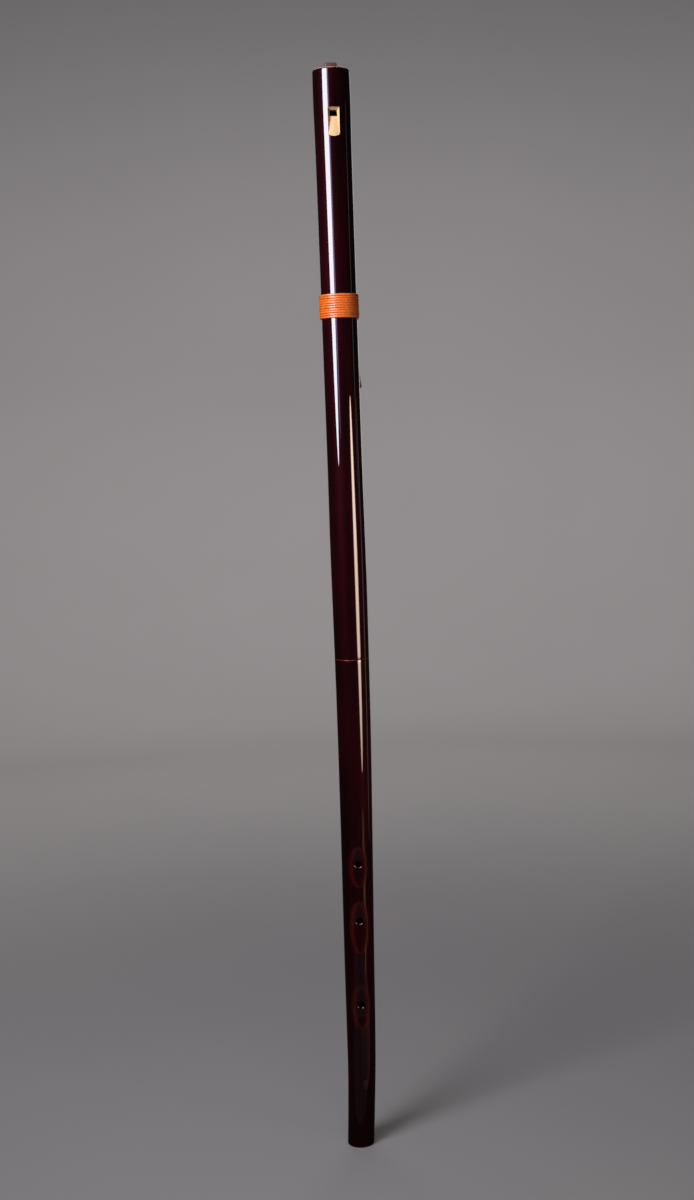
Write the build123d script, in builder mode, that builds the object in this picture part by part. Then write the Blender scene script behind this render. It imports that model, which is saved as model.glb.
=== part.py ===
from build123d import *
import os
from math import cos, radians, sin

# A bass duct flute of lacquered bamboo, in two sections that a loose sleeve joins.
# The breath goes in at the mouthpiece, up the thin wind tube at the back, through a short
# nipple into the wind chamber, down the windway of the block and onto the sounding edge.
#
# Millimetres, +Z up the flute. -Y is the front, with the window and the finger holes.
# The origin is the centre of the foot's flat face.

os.makedirs("parts", exist_ok=True)

# Heights above the foot
rim_height = 1648.0
joint_height = 775.5
joint_gap = 0.1

# The upper section is straight. It stands this far to +X, because the lower one is bowed.
head_x = 12.9

# Lower section, as it grew: height, outer radius, and how far its centre lies to +X
foot_chamfer = 1.5
end_chamfer = 0.5
lower_stations = [
    (foot_chamfer, 20.9, 0.0),
    (60.0, 21.2, 2.8),
    (120.0, 21.75, 5.2),
    (185.0, 22.5, 6.4),
    (265.0, 23.1, 7.3),
    (345.0, 23.6, 8.3),
    (425.0, 24.1, 9.5),
    (505.0, 24.6, 10.6),
    (575.0, 25.1, 11.5),
    (640.0, 25.5, 12.2),
    (710.0, 25.9, 12.7),
    (joint_height - joint_gap - end_chamfer, 26.2, head_x),
]
foot_bore_radius = 14.5
foot_bore_length = 40.0
# The natural bore above the reamed foot: height, radius, centre to +X
lower_bore_stations = [
    (foot_bore_length, foot_bore_radius, 0.0),
    (120.0, 15.1, 4.6),
    (230.0, 15.7, 6.9),
    (345.0, 16.4, 8.3),
    (450.0, 17.0, 9.9),
    (560.0, 17.6, 11.3),
    (640.0, 18.1, 12.2),
]

# The sleeve and its sockets
sleeve_radius = 21.0
sleeve_bore_radius = 18.5
sleeve_reach = 59.5
socket_radius = 21.05
socket_depth = 60.0
lapping_groove_radius = 20.2
lapping_length = 25.0
lapping_inset = 20.0

# Finger holes: height, then the cup's centre height, length and depth
finger_holes = [
    (457.0, 453.0, 62.0, 2.8),
    (367.0, 357.0, 80.0, 3.4),
    (232.5, 229.0, 68.0, 3.0),
]
finger_hole_radius = 5.0
lip_depth = 1.5

# Upper section, outside: radius at each height, with the low rings of two sanded nodes
rim_round = 2.5
upper_outline = [
    (26.2, joint_height + end_chamfer),
    (26.85, 955.0),
    (26.4, 1050.0),
    (26.45, 1240.0),
    (26.6, 1400.0),
    (27.0, 1540.0),
    (27.6, 1612.0),
    (27.3, rim_height - rim_round),
]
upper_bore_radius = 19.8
head_bore_radius = 21.0
head_bore_height = 1540.0

# Window: the mouth at the bore, its outside opening, and the ramp up from the sounding edge
mouth_width = 10.8
mouth_top = 1587.3
edge_height = 1578.5
window_width = 18.4
window_top = 1590.7
ramp_foot = 1548.3
window_outer_radius = 27.3
# The ramp falls away from its middle line by this many mm at 1 mm to the side, and as the square
ramp_crown = 0.01

# Block and windway
block_length = 32.0
block_radius = 20.97
windway_depth = 2.2
windway_width = 10.8

# Stopper over the wind chamber, a running fit in the head
stopper_bottom = 1636.0
stopper_radius = 20.95
cork_groove_radius = 19.6
cork_bottom = 1638.5
cork_length = 5.5
grip_width = 17.5
grip_thickness = 7.0
grip_seat = 1640.0
grip_top = 1659.0

# Wind tube, round to the right of the back
wind_angle = 33.0
wind_distance = 36.3
wind_radius = 8.2
wind_bore_radius = 5.8
wind_bottom = 1246.0
wind_top = 1640.0
plug_depth = 6.0
plug_cap = 3.0
nipple_height = 1627.7
nipple_radius = 4.0
nipple_bore_radius = 2.6
nipple_inset = 0.3

# Mouthpiece: it bends away from the flute on an arc and is cut slantwise
mouth_arc_radius = 200.0
mouth_arc_angle = 18.6
mouth_bore_radius = 4.4
mouth_tenon_radius = 5.78
mouth_tenon_length = 14.0
mouth_cut_angle = 35.0
mouth_cut_height = 1184.0

# Binding and the saddle under it. The upper section is this thick there.
bound_radius = 26.5
binding_bottom = 1287.7
lace_turns = 10
lace_pitch = 3.54
lace_thickness = 3.3
groove_width = 1.2
groove_depth = 0.8
binding_clearance = 0.12
saddle_width = 15.0
saddle_end_gap = 2.0

wind_x = head_x + wind_distance * sin(radians(wind_angle))
wind_y = wind_distance * cos(radians(wind_angle))
outward = Vector(sin(radians(wind_angle)), cos(radians(wind_angle)), 0)
sideways = Vector(cos(radians(wind_angle)), -sin(radians(wind_angle)), 0)

# In these planes local x is a radius and local y is +Z
head_plane = Plane(origin=(head_x, 0, 0), x_dir=(1, 0, 0), z_dir=(0, -1, 0))
head_axis = Axis((head_x, 0, 0), (0, 0, 1))
wind_plane = Plane(origin=(wind_x, wind_y, 0), x_dir=outward, z_dir=sideways)
# The nipple runs outwards from the upper section's axis
nipple_plane = Plane(origin=(head_x, 0, nipple_height), x_dir=sideways, z_dir=outward)


def lower_section_at(height):
    """The lower section's outer radius at a height, and how far its centre lies to +X."""
    for low, high in zip(lower_stations, lower_stations[1:]):
        if height <= high[0]:
            share = (height - low[0]) / (high[0] - low[0])
            return low[1] + share * (high[1] - low[1]), low[2] + share * (high[2] - low[2])
    return lower_stations[-1][1:]


# Lower section: a bowed tube with a reamed foot, a natural bore and a socket for the sleeve
socket_floor = joint_height - socket_depth
with BuildPart() as lower_tube:
    for height, radius, centre in lower_stations:
        with BuildSketch(Plane((centre, 0, height))):
            Circle(radius)
    loft()
    # Bevelled ends, at the foot and at the joint
    for end, bevel in ((lower_stations[0], -foot_chamfer), (lower_stations[-1], end_chamfer)):
        with BuildSketch(Plane((end[2], 0, end[0]))):
            Circle(end[1])
        extrude(amount=bevel, taper=45)
    with BuildSketch():
        Circle(foot_bore_radius)
    extrude(amount=foot_bore_length, mode=Mode.SUBTRACT)
    for height, radius, centre in lower_bore_stations:
        with BuildSketch(Plane((centre, 0, height))):
            Circle(radius)
    with BuildSketch(Plane((head_x, 0, socket_floor))):
        Circle(sleeve_bore_radius)
    loft(mode=Mode.SUBTRACT)
    with BuildSketch(Plane((head_x, 0, socket_floor))):
        Circle(socket_radius)
    extrude(amount=socket_depth, mode=Mode.SUBTRACT)
    for height, cup_height, cup_length, cup_depth in finger_holes:
        # A finger cup is a shallow cut made by a drum that lies crosswise
        radius, centre = lower_section_at(cup_height)
        drum_radius = (cup_length / 2) ** 2 / (2 * cup_depth) + cup_depth / 2
        with BuildSketch(Plane.YZ.offset(centre - radius)):
            with Locations((cup_depth - radius - drum_radius, cup_height)):
                Circle(drum_radius)
        extrude(amount=2 * radius, mode=Mode.SUBTRACT)
        # The hole, with its lip opened out where the finger rests
        radius, centre = lower_section_at(height)
        hole_plane = Plane(origin=(centre, 0, height), x_dir=(1, 0, 0), z_dir=(0, -1, 0))
        with BuildSketch(hole_plane):
            Circle(finger_hole_radius)
        extrude(amount=radius, mode=Mode.SUBTRACT)
        with BuildSketch(hole_plane.offset(radius - cup_depth - lip_depth)):
            Circle(finger_hole_radius)
        extrude(amount=2 * lip_depth, taper=-45, mode=Mode.SUBTRACT)
lower_tube.part.label = "lower_tube"
export_step(lower_tube.part, "parts/lower_tube.step")

# Sleeve: a loose double-ended tube with a groove for the lapping near each end
lapping_bottoms = {
    "lower_lapping": joint_height - lapping_inset - lapping_length,
    "upper_lapping": joint_height + lapping_inset,
}
sleeve_bottom = joint_height - sleeve_reach
with BuildPart() as joint_sleeve:
    with BuildSketch(Plane((head_x, 0, sleeve_bottom))):
        Circle(sleeve_radius)
    extrude(amount=2 * sleeve_reach)
    chamfer(joint_sleeve.edges(), end_chamfer)
    with BuildSketch(Plane((head_x, 0, sleeve_bottom))):
        Circle(sleeve_bore_radius)
    extrude(amount=2 * sleeve_reach, mode=Mode.SUBTRACT)
    for bottom in lapping_bottoms.values():
        with BuildSketch(Plane((head_x, 0, bottom))):
            Circle(sleeve_radius)
            Circle(lapping_groove_radius, mode=Mode.SUBTRACT)
        extrude(amount=lapping_length, mode=Mode.SUBTRACT)
joint_sleeve.part.label = "joint_sleeve"
export_step(joint_sleeve.part, "parts/joint_sleeve.step")

# Lappings: waxed thread that fills each groove flush
for name, bottom in lapping_bottoms.items():
    with BuildPart() as lapping:
        with BuildSketch(Plane((head_x, 0, bottom))):
            Circle(sleeve_radius)
            Circle(lapping_groove_radius, mode=Mode.SUBTRACT)
        extrude(amount=lapping_length)
    lapping.part.label = name
    export_step(lapping.part, f"parts/{name}.step")

# Upper section: a straight tube with the socket, the bore, the reamed head, and the window
socket_ceiling = joint_height + socket_depth
with BuildPart() as upper_tube:
    with BuildSketch(head_plane):
        with BuildLine():
            outside = Spline(upper_outline)
            rim_centre = (upper_outline[-1][0] - rim_round, upper_outline[-1][1])
            rim = CenterArc(rim_centre, rim_round, 0, 90)
            Polyline(
                rim @ 1,
                (head_bore_radius, rim_height),
                (head_bore_radius, head_bore_height),
                (upper_bore_radius, socket_ceiling),
                (socket_radius, socket_ceiling),
                (socket_radius, joint_height),
                (upper_outline[0][0] - end_chamfer, joint_height),
                outside @ 0,
            )
        make_face()
    revolve(axis=head_axis)
    # The window: straight walls that open outwards, and the long ramp below the edge, which is
    # slightly crowned. Both outlines are carried past the wall, along the same slopes.
    wall = window_outer_radius - head_bore_radius
    ramp_run = (edge_height - ramp_foot) / wall
    spare = 0.2
    for share in (-spare, 1 + spare):
        half_width = (mouth_width + share * (window_width - mouth_width)) / 2
        top = mouth_top + share * (window_top - mouth_top)
        bottom = edge_height + share * (ramp_foot - edge_height)
        corner = bottom - ramp_crown * ramp_run * half_width**2
        with BuildSketch(head_plane.offset(head_bore_radius + share * wall)):
            with BuildLine():
                Polyline(
                    (half_width, corner),
                    (half_width, top),
                    (-half_width, top),
                    (-half_width, corner),
                )
                ThreePointArc((-half_width, corner), (0, bottom), (half_width, corner))
            make_face()
    loft(ruled=True, mode=Mode.SUBTRACT)
    # The mouth is cut square through the bore, so that the sounding edge is straight
    with BuildSketch(head_plane.offset(head_bore_radius - wall / 2)):
        with Locations((0, (edge_height + mouth_top) / 2)):
            Rectangle(mouth_width, mouth_top - edge_height)
    extrude(amount=wall, mode=Mode.SUBTRACT)
    # The nipple's hole, at the back
    with BuildSketch(nipple_plane):
        Circle(nipple_radius)
    extrude(amount=wind_distance, mode=Mode.SUBTRACT)
upper_tube.part.label = "upper_tube"
export_step(upper_tube.part, "parts/upper_tube.step")

# Block: it fills the bore over the mouth, but for the windway along its front
with BuildPart() as fipple_block:
    with BuildSketch(Plane((head_x, 0, mouth_top))):
        Circle(block_radius)
        with Locations((0, -block_radius)):
            Rectangle(windway_width, 2 * windway_depth, mode=Mode.SUBTRACT)
    extrude(amount=block_length)
fipple_block.part.label = "fipple_block"
export_step(fipple_block.part, "parts/fipple_block.step")

# Stopper: a plug that closes the wind chamber, with a cork band and a flat grip
with BuildPart() as stopper_plug:
    with BuildSketch(Plane((head_x, 0, stopper_bottom))):
        Circle(stopper_radius)
    extrude(amount=rim_height - stopper_bottom)
    chamfer(stopper_plug.edges(), end_chamfer)
    with BuildSketch(Plane((head_x, 0, cork_bottom))):
        Circle(stopper_radius)
        Circle(cork_groove_radius, mode=Mode.SUBTRACT)
    extrude(amount=cork_length, mode=Mode.SUBTRACT)
    with BuildSketch(Plane((head_x, 0, grip_seat))):
        Rectangle(grip_width, grip_thickness)
    extrude(amount=rim_height - grip_seat, mode=Mode.SUBTRACT)
stopper_plug.part.label = "stopper_plug"
export_step(stopper_plug.part, "parts/stopper_plug.step")

with BuildPart() as stopper_cork:
    with BuildSketch(Plane((head_x, 0, cork_bottom))):
        Circle(stopper_radius)
        Circle(cork_groove_radius, mode=Mode.SUBTRACT)
    extrude(amount=cork_length)
stopper_cork.part.label = "stopper_cork"
export_step(stopper_cork.part, "parts/stopper_cork.step")

with BuildPart() as stopper_grip:
    with BuildSketch(Plane((head_x, 0, grip_seat))):
        Rectangle(grip_width, grip_thickness)
    extrude(amount=grip_top - grip_seat)
    fillet(stopper_grip.faces().sort_by(Axis.Z)[-1].edges(), end_chamfer)
stopper_grip.part.label = "stopper_grip"
export_step(stopper_grip.part, "parts/stopper_grip.step")

# Wind tube, its top plug, and the nipple that leads into the wind chamber
with BuildPart() as wind_tube:
    with BuildSketch(Plane((wind_x, wind_y, wind_bottom))):
        Circle(wind_radius)
        Circle(wind_bore_radius, mode=Mode.SUBTRACT)
    extrude(amount=wind_top - wind_bottom)
    with BuildSketch(nipple_plane):
        Circle(nipple_radius)
    extrude(amount=wind_distance, mode=Mode.SUBTRACT)
wind_tube.part.label = "wind_tube"
export_step(wind_tube.part, "parts/wind_tube.step")

with BuildPart() as wind_tube_plug:
    with BuildSketch(Plane((wind_x, wind_y, wind_top - plug_depth))):
        Circle(wind_bore_radius)
    extrude(amount=plug_depth)
    with BuildSketch(Plane((wind_x, wind_y, wind_top))):
        Circle(wind_radius)
    extrude(amount=plug_cap)
    fillet(wind_tube_plug.faces().sort_by(Axis.Z)[-1].edges(), plug_cap / 2)
wind_tube_plug.part.label = "wind_tube_plug"
export_step(wind_tube_plug.part, "parts/wind_tube_plug.step")

nipple_start = head_bore_radius + nipple_inset
nipple_end = wind_distance - wind_bore_radius + nipple_inset
with BuildPart() as transfer_nipple:
    with BuildSketch(nipple_plane.offset(nipple_start)):
        Circle(nipple_radius)
        Circle(nipple_bore_radius, mode=Mode.SUBTRACT)
    extrude(amount=nipple_end - nipple_start)
transfer_nipple.part.label = "transfer_nipple"
export_step(transfer_nipple.part, "parts/transfer_nipple.step")

# Mouthpiece: a tenon in the wind tube, then a bend away from the flute with a slanted end
with BuildPart() as mouthpiece:
    with BuildLine(wind_plane):
        mouth_path = CenterArc((mouth_arc_radius, wind_bottom), mouth_arc_radius, 180, mouth_arc_angle)
    with BuildSketch(Plane((wind_x, wind_y, wind_bottom))):
        Circle(wind_radius)
    sweep(path=mouth_path)
    with BuildSketch(Plane((wind_x, wind_y, wind_bottom))):
        Circle(mouth_tenon_radius)
    extrude(amount=mouth_tenon_length)
    with BuildSketch(Plane((wind_x, wind_y, wind_bottom + mouth_tenon_length))):
        Circle(mouth_bore_radius)
    extrude(amount=-mouth_tenon_length, mode=Mode.SUBTRACT)
    with BuildSketch(Plane((wind_x, wind_y, wind_bottom))):
        Circle(mouth_bore_radius)
    sweep(path=mouth_path, mode=Mode.SUBTRACT)
    # The slanted cut leaves the side away from the flute the longest
    cut_tilt = radians(mouth_cut_angle)
    tip = mouth_path @ 1 + outward * wind_radius
    cut_normal = outward * -sin(cut_tilt) + Vector(0, 0, -cos(cut_tilt))
    split(bisect_by=Plane(origin=(tip.X, tip.Y, mouth_cut_height), z_dir=cut_normal), keep=Keep.BOTTOM)
mouthpiece.part.label = "mouthpiece"
export_step(mouthpiece.part, "parts/mouthpiece.step")

# Saddle: a spacer hollowed to both tubes
binding_height = lace_turns * lace_pitch
tube_radius = bound_radius + binding_clearance
with BuildPart() as duct_saddle:
    saddle_plane = Plane(
        origin=(head_x, 0, binding_bottom + saddle_end_gap), x_dir=outward, z_dir=(0, 0, 1)
    )
    with BuildSketch(saddle_plane):
        with Locations((wind_distance - wind_radius, 0)):
            Rectangle(2 * wind_radius, saddle_width)
        Circle(tube_radius, mode=Mode.SUBTRACT)
        with Locations((wind_distance, 0)):
            Circle(wind_radius + binding_clearance, mode=Mode.SUBTRACT)
            with Locations((wind_radius, 0)):
                Rectangle(2 * wind_radius, 2 * saddle_width, mode=Mode.SUBTRACT)
    extrude(amount=binding_height - 2 * saddle_end_gap)
duct_saddle.part.label = "duct_saddle"
export_step(duct_saddle.part, "parts/duct_saddle.step")

# Binding: turns of round lace, pulled tight round both tubes
with BuildPart() as binding_lace:
    for turn in range(lace_turns):
        bottom = binding_bottom + turn * lace_pitch
        with BuildSketch(Plane(origin=(head_x, 0, bottom), x_dir=outward, z_dir=(0, 0, 1))):
            Circle(tube_radius + lace_thickness)
            with Locations((wind_distance, 0)):
                Circle(wind_radius + binding_clearance + lace_thickness)
            make_hull()
            with BuildSketch(mode=Mode.PRIVATE) as inside:
                Circle(tube_radius)
                with Locations((wind_distance, 0)):
                    Circle(wind_radius + binding_clearance)
                make_hull()
            add(inside.sketch, mode=Mode.SUBTRACT)
        extrude(amount=lace_pitch)
        # The hollow between this turn and the next
        if turn + 1 < lace_turns:
            top = bottom + lace_pitch - groove_width / 2
            with BuildSketch(Plane(origin=(head_x, 0, top), x_dir=outward, z_dir=(0, 0, 1))):
                Circle(2 * tube_radius + wind_distance)
                with BuildSketch(mode=Mode.PRIVATE) as kept:
                    Circle(tube_radius + lace_thickness - groove_depth)
                    with Locations((wind_distance, 0)):
                        Circle(wind_radius + binding_clearance + lace_thickness - groove_depth)
                    make_hull()
                add(kept.sketch, mode=Mode.SUBTRACT)
            extrude(amount=groove_width / 2, mode=Mode.SUBTRACT)
binding_lace.part.label = "binding_lace"
export_step(binding_lace.part, "parts/binding_lace.step")
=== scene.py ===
# %% [markdown]
# # A bass duct flute of lacquered bamboo
# Two sections of thick bamboo, joined by a loose wooden sleeve, make a flute 1.65 m tall. The
# front has a window and three finger holes. A thin wind tube runs up the back, tied on with
# orange lace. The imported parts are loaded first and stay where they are: a piece below either
# gives one of them a finish or is a finer mesh that takes its place.

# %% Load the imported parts
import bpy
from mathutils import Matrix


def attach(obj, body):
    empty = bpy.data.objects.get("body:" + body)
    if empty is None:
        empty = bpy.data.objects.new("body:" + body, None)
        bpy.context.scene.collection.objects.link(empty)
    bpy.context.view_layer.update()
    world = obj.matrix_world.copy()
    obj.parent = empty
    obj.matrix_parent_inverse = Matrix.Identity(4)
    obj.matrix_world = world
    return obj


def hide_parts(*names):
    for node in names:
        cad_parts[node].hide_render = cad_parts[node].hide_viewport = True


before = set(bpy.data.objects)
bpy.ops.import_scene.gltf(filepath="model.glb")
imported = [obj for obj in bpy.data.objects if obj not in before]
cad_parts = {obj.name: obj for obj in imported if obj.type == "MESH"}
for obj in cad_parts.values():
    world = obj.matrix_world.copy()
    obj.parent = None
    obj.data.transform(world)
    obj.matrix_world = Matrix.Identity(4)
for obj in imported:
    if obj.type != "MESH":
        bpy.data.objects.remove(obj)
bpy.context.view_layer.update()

# %% Tools
import math

import bpy
import numpy as np
from mathutils import Matrix, Vector

MM = 0.001

# %% [markdown]
# ## The camera
# A long thin object needs a camera well back, so that its ends aren't stretched. This one stands
# 2.35 m away at two thirds of the flute's height, a little to the left, and looks slightly down.
# It also leans a little, which makes the flute look as if it leans left. Three directions at
# right angles are enough to place a camera: where it looks, its right and its up.

# %% Camera
camera_place = Vector((-0.15098, -2.34356, 1.12422))
camera_turn = math.radians(3.896)
camera_dip = math.radians(6.303)
camera_roll = math.radians(-2.076)

ahead = Vector((
    math.sin(camera_turn) * math.cos(camera_dip),
    math.cos(camera_turn) * math.cos(camera_dip),
    -math.sin(camera_dip),
))
level_right = ahead.cross(Vector((0, 0, 1))).normalized()
level_up = level_right.cross(ahead)
right = level_right * math.cos(camera_roll) + level_up * math.sin(camera_roll)
up = level_up * math.cos(camera_roll) - level_right * math.sin(camera_roll)

camera = bpy.data.objects.new("camera", bpy.data.cameras.new("camera"))
camera.data.lens = 46.5
camera.data.sensor_width = 36.0
camera.data.clip_end = 50.0
camera_axes = Matrix((right, up, -ahead)).transposed().to_4x4()
camera.matrix_world = Matrix.Translation(camera_place) @ camera_axes
bpy.context.scene.collection.objects.link(camera)
bpy.context.scene.camera = camera
print("camera at", tuple(round(v, 3) for v in camera_place))

# %% [markdown]
# ## Meshes from rows of points
# Nearly every piece of a flute is a tube, and a tube is a stack of rings. One helper places
# rings, and another joins each ring to the next with a band of faces. A closed stack, which goes
# up the outside, over the end and down the bore, gives a wall with a real thickness. A lathe
# modifier could do the round pieces, but not a bowed tube with finger cups, so numbers do it all.

# %% Rings and surfaces
def rings(heights, radii, centre_x=0.0, centre_y=0.0, columns=96):
    """Points on rings, one row each. Column 0 is at the front, and they go round by +X."""
    angle = np.linspace(0, 2 * np.pi, columns, endpoint=False)
    heights = np.asarray(heights, float).reshape(-1, 1)
    radii = np.asarray(radii, float)
    if radii.ndim < 2:
        radii = radii.reshape(-1, 1)
    centre_x = np.asarray(centre_x, float).reshape(-1, 1)
    x = centre_x + radii * np.sin(angle)
    y = centre_y - radii * np.cos(angle)
    z = heights + 0 * angle
    return np.stack(np.broadcast_arrays(x, y, z), axis=-1)


def surface(name, rows, finishes=(), bands=None, closed=False, crease=35):
    """Joins the rows into a piece. It is a closed wall, or a solid with a flat face at each end."""
    rows = np.asarray(rows)
    count, across = rows.shape[:2]
    near = np.arange(count if closed else count - 1)[:, None]
    far = (near + 1) % count
    left = np.arange(across)[None, :]
    beside = (left + 1) % across
    corners = (near * across + left, near * across + beside, far * across + beside, far * across + left)
    faces = np.stack(np.broadcast_arrays(*corners), axis=-1).reshape(-1, 4)
    points = rows.reshape(-1, 3)
    # A solid's volume comes out negative when its faces look inwards
    middle = points.mean(axis=0)
    a, b, c, d = (points[faces[:, k]] - middle for k in range(4))
    volume = (np.cross(a, b) * c).sum() + (np.cross(a, c) * d).sum()
    ends = [] if closed else [list(range(across))[::-1], [(count - 1) * across + k for k in range(across)]]
    faces = faces.tolist() + ends
    if volume < 0:
        faces = [face[::-1] for face in faces]
    mesh = bpy.data.meshes.new(name)
    mesh.from_pydata(points.tolist(), [], faces)
    if bands is not None:
        index = np.repeat(np.asarray(bands, int), across).tolist() + [0] * len(ends)
        mesh.polygons.foreach_set("material_index", index)
    mesh.shade_smooth()
    mesh.set_sharp_from_angle(angle=math.radians(crease))
    for finish in finishes:
        mesh.materials.append(finish.material)
    piece = bpy.data.objects.new(name, mesh)
    bpy.context.scene.collection.objects.link(piece)
    print(f"{name}: {len(mesh.polygons)} faces")
    return piece


def stand(rows, origin, axis, side):
    """Takes rows made round +Z and turns them to run along axis from origin. Their X goes to side."""
    axis = np.array(Vector(axis).normalized())
    side = np.array(Vector(side).normalized())
    other = np.cross(axis, side)
    return np.array(origin) + rows[..., :1] * side + rows[..., 1:2] * other + rows[..., 2:] * axis


# %% [markdown]
# Bamboo isn't measured at every height. A few measures are enough, with a smooth curve through
# them: a cubic piece between each two, whose slopes agree where they meet. Straight lines would
# show as kinks in the reflections, because lacquer is a mirror.

# %% Smooth curves through a few measures
def through(stations, heights):
    """The values at these heights, on smooth curves through stations of (height, value, ...)."""
    table = np.array(stations, float)
    known, value = table[:, 0], table[:, 1:]
    slope = np.gradient(value, known, axis=0)
    heights = np.asarray(heights, float)
    low = np.clip(np.searchsorted(known, heights) - 1, 0, len(known) - 2)
    run = (known[low + 1] - known[low])[:, None]
    t = np.clip((heights[:, None] - known[low][:, None]) / run, 0, 1)
    start = (1 + 2 * t) * (1 - t) ** 2 * value[low] + t * (1 - t) ** 2 * run * slope[low]
    end = t * t * (3 - 2 * t) * value[low + 1] + t * t * (t - 1) * run * slope[low + 1]
    return start + end


def steps(low, high, spacing):
    """Heights from low to high, about this far apart."""
    return np.linspace(low, high, max(2, int(round((high - low) / spacing)) + 1))


# %% [markdown]
# ## Shader maths
# A finish is a small program: noise makes masks, and masks mix colours. Written out node by
# node it is long and hard to read, so one class wraps a socket and turns sums on it into Math
# nodes. Another holds a material and makes every other node.

# %% Sockets that can be added and multiplied
class Tone:
    """A value that changes over a surface. Sums on it add Math nodes to its finish."""

    def __init__(self, finish, socket):
        self.finish = finish
        self.socket = socket

    def math(self, operation, *values):
        return self.finish.node("ShaderNodeMath", {"operation": operation}, dict(enumerate(values)))

    def __add__(self, other):
        return self.math("ADD", self, other)

    def __radd__(self, other):
        return self.math("ADD", other, self)

    def __sub__(self, other):
        return self.math("SUBTRACT", self, other)

    def __rsub__(self, other):
        return self.math("SUBTRACT", other, self)

    def __mul__(self, other):
        return self.math("MULTIPLY", self, other)

    def __rmul__(self, other):
        return self.math("MULTIPLY", other, self)


class Finish:
    """A material made of nodes."""

    def __init__(self, name):
        self.material = bpy.data.materials.new(name)
        self.material.use_nodes = True
        self.tree = self.material.node_tree
        self.tree.nodes.clear()
        # Pieces sit at the origin, so object coordinates are metres on the flute
        self.place = self.node("ShaderNodeTexCoord", output="Object")

    def node(self, kind, settings={}, inputs={}, output=0):
        """Any node: its settings first, then the values or links of its sockets."""
        made = self.tree.nodes.new(kind)
        for key, value in settings.items():
            setattr(made, key, value)
        for key, value in inputs.items():
            if isinstance(value, Tone):
                self.tree.links.new(value.socket, made.inputs[key])
            else:
                made.inputs[key].default_value = value
        return Tone(self, made.outputs[output])

    def noise(self, scale, detail=4.0, roughness=0.55, shift=(0, 0, 0)):
        """Noise from 0 to 1, with so many lumps to the metre along each axis."""
        where = self.node(
            "ShaderNodeMapping", {}, {"Vector": self.place, "Scale": scale, "Location": shift}
        )
        return self.node(
            "ShaderNodeTexNoise",
            {},
            {"Vector": where, "Scale": 1.0, "Detail": detail, "Roughness": roughness},
            "Fac",
        )

    def mask(self, value, low, high):
        """0 where value is under low, 1 where it is over high, and smooth between."""
        return self.node(
            "ShaderNodeMapRange",
            {"interpolation_type": "SMOOTHSTEP"},
            {"Value": value, "From Min": low, "From Max": high},
            "Result",
        )

    def mix(self, share, first, second):
        """A colour between two, each an (r, g, b) or another mix."""
        inputs = {0: share}
        for socket, colour in ((6, first), (7, second)):
            inputs[socket] = colour if isinstance(colour, Tone) else (*colour, 1)
        return self.node("ShaderNodeMix", {"data_type": "RGBA"}, inputs, 2)

    def part(self, axis):
        """How far along X, Y or Z, in metres."""
        return self.node("ShaderNodeSeparateXYZ", {}, {0: self.place}, axis)

    def bump(self, height, depth):
        """A normal from a height that goes from 0 to 1, this many metres deep."""
        return self.node("ShaderNodeBump", {}, {"Distance": depth, "Height": height}, "Normal")

    def surface(self, colour, roughness, normal=None, **constants):
        inputs = {"Base Color": colour, "Roughness": roughness}
        if normal is not None:
            inputs["Normal"] = normal
        inputs.update({key.replace("_", " "): value for key, value in constants.items()})
        shader = self.node("ShaderNodeBsdfPrincipled", {}, inputs, "BSDF")
        out = self.tree.nodes.new("ShaderNodeOutputMaterial")
        self.tree.links.new(shader.socket, out.inputs["Surface"])
        return self


print("helpers for meshes and finishes are ready")

# %% [markdown]
# ## Lower section: its shape
# The cane was bowed as it grew, and it swells towards the joint. Its centre line and radius are
# measured at a dozen heights. Where a finger sits, the maker has filed a shallow cup, as if with
# a large drum held crosswise. The cup and the round cane meet in an edge that many coats of
# lacquer have softened, so a smooth minimum joins them, with 0.6 mm of blend.

# %% Measures of the lower section
columns = 192
lower_stations = [
    (1.5, 20.9, 0.0), (60.0, 21.2, 2.8), (120.0, 21.75, 5.2), (185.0, 22.5, 6.4),
    (265.0, 23.1, 7.3), (345.0, 23.6, 8.3), (425.0, 24.1, 9.5), (505.0, 24.6, 10.6),
    (575.0, 25.1, 11.5), (640.0, 25.5, 12.2), (710.0, 25.9, 12.7), (774.9, 26.2, 12.9),
]
lower_bore_stations = [
    (40.0, 14.5, 0.0), (120.0, 15.1, 4.6), (230.0, 15.7, 6.9), (345.0, 16.4, 8.3),
    (450.0, 17.0, 9.9), (560.0, 17.6, 11.3), (640.0, 18.1, 12.2), (715.5, 18.5, 12.9),
]
# Hole height, then its cup's centre height, length and depth
finger_holes = [(457.0, 453.0, 62.0, 2.8), (367.0, 357.0, 80.0, 3.4), (232.5, 229.0, 68.0, 3.0)]
cup_blend = 0.6
front = np.cos(np.linspace(0, 2 * np.pi, columns, endpoint=False))


def cup_face(heights, cup_height, cup_length, cup_depth):
    """How far the drum leaves the cup's face in front of Y = 0, at each height."""
    radius = through(lower_stations, [cup_height])[0, 0]
    drum = (cup_length / 2) ** 2 / (2 * cup_depth) + cup_depth / 2
    across = np.clip(drum**2 - (np.asarray(heights) - cup_height) ** 2, 0, None)
    return radius + drum - cup_depth - np.sqrt(across)


def cupped(radii, heights):
    """The tube's radii in every column, with the finger cups filed in."""
    radii = np.repeat(np.asarray(radii)[:, None], columns, axis=1)
    for _, *cup in finger_holes:
        face = cup_face(heights, *cup)[:, None]
        flat = np.where(front > 0.2, face / np.clip(front, 0.2, 1), 1e3)
        overlap = np.clip(cup_blend - np.abs(radii - flat), 0, None) / cup_blend
        radii = np.minimum(radii, flat) - overlap**2 * cup_blend / 4
    return radii


cup_depths = [round(float(cup_face([height], *cup)[0]), 2) for height, *cup in finger_holes]
print("cup faces in front of Y = 0 at the hole heights, in mm:", cup_depths)

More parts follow.
